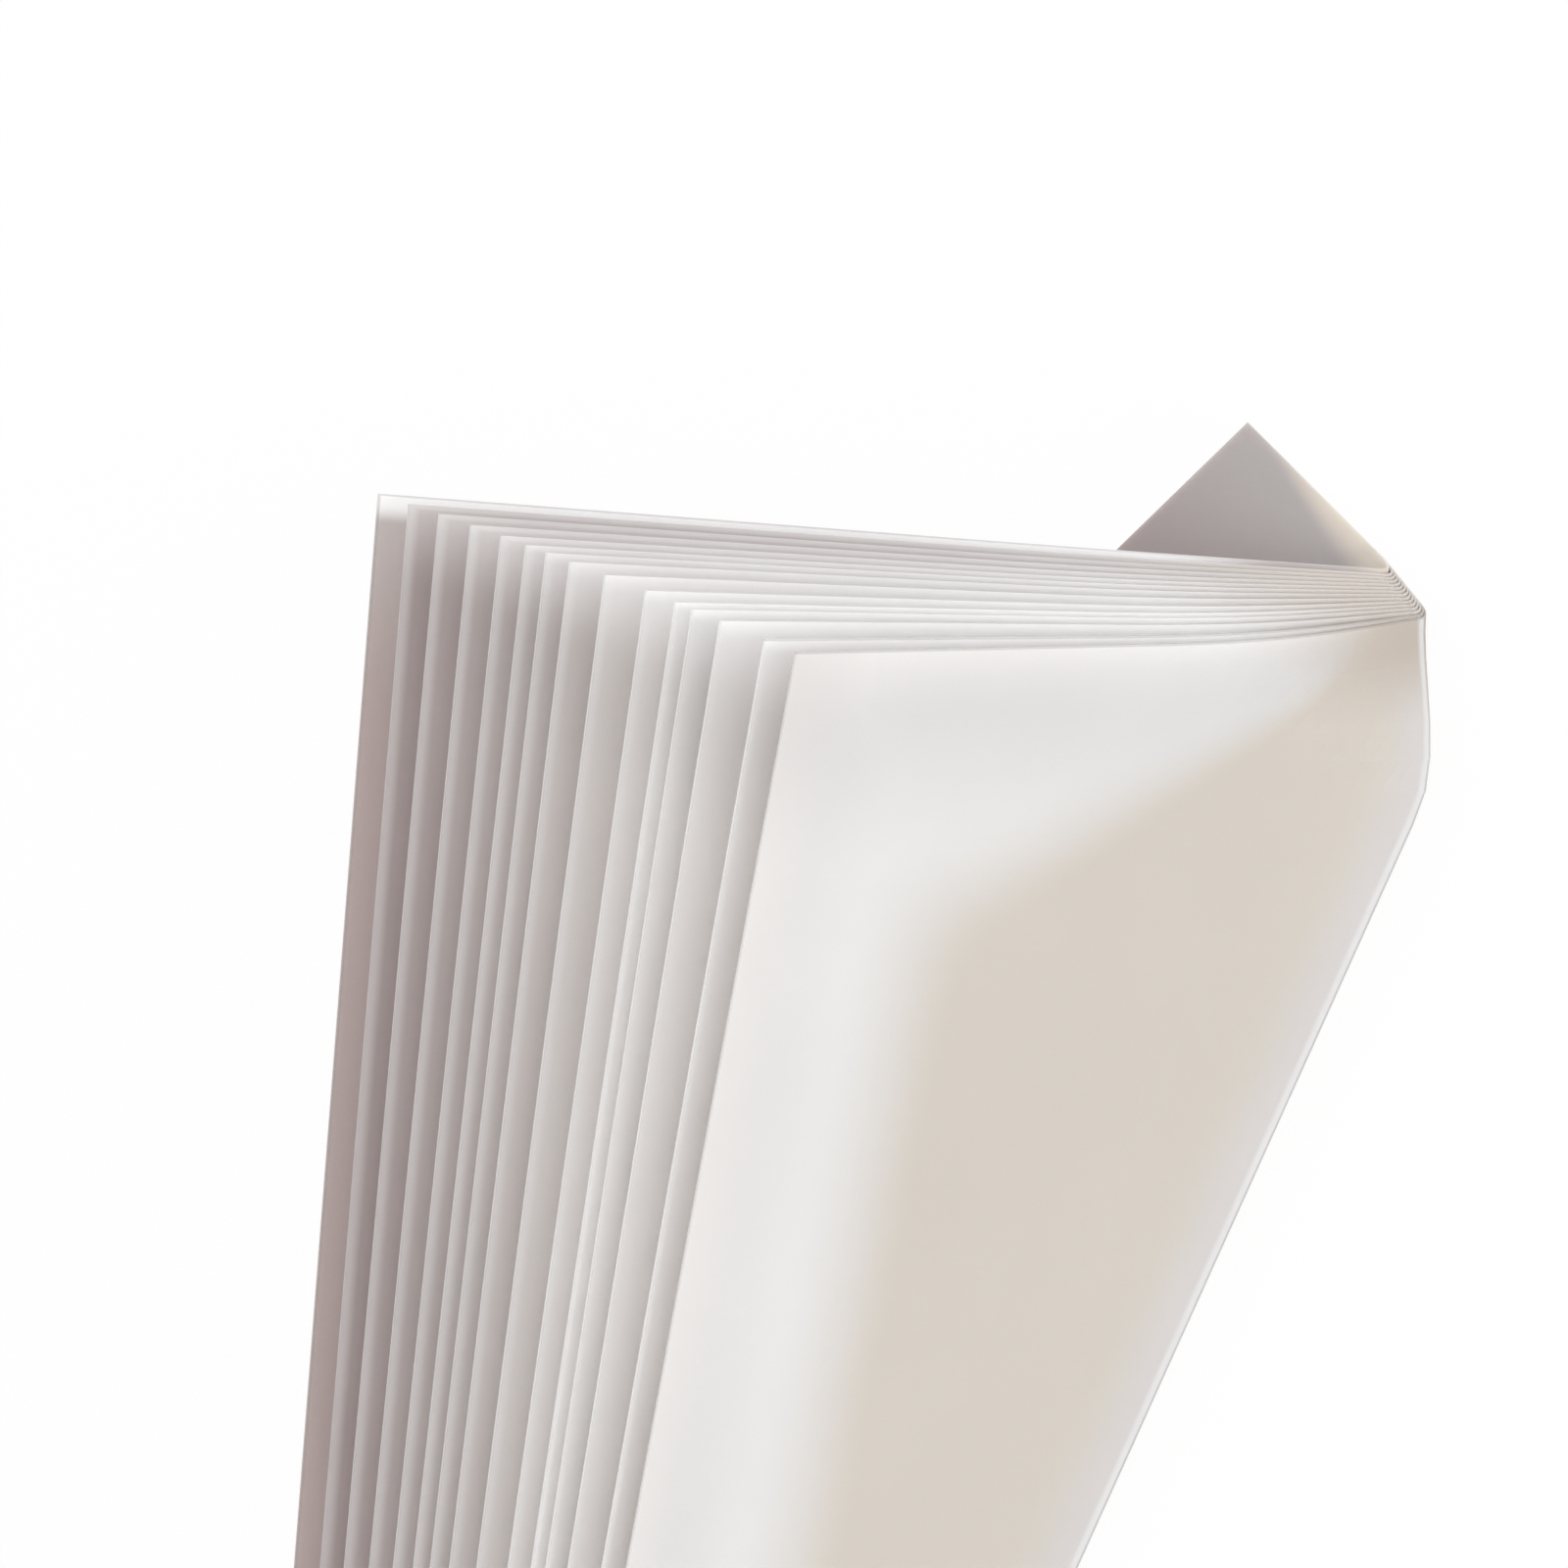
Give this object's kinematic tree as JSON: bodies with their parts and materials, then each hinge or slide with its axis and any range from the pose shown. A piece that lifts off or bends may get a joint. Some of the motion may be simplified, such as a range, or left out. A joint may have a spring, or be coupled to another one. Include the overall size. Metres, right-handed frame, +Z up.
{
  "type": "sticky note pad",
  "caption": "Pad of translucent film sticky notes, folded back over its bound edge so that the leaves fan out above it",
  "frame": {"origin": "On the floor under the middle of the glued strip, which runs along the bound edge of the pad", "axes": "+Z is up, away from the surface that the pad lies on. -Y points to the lower ends of the leaves and of the fold, and +Y to the pinched top edge. +X points across the fold, away from the free edges of the leaves"},
  "size_m": [0.0652, 0.0903, 0.0521],
  "materials": {
    "film": "translucent frosted film",
    "backing": "grey translucent release sheet"
  },
  "bodies": {
    "root": {"film_leaves": "film", "backing_sheet": "backing"}
  },
  "joints": []
}
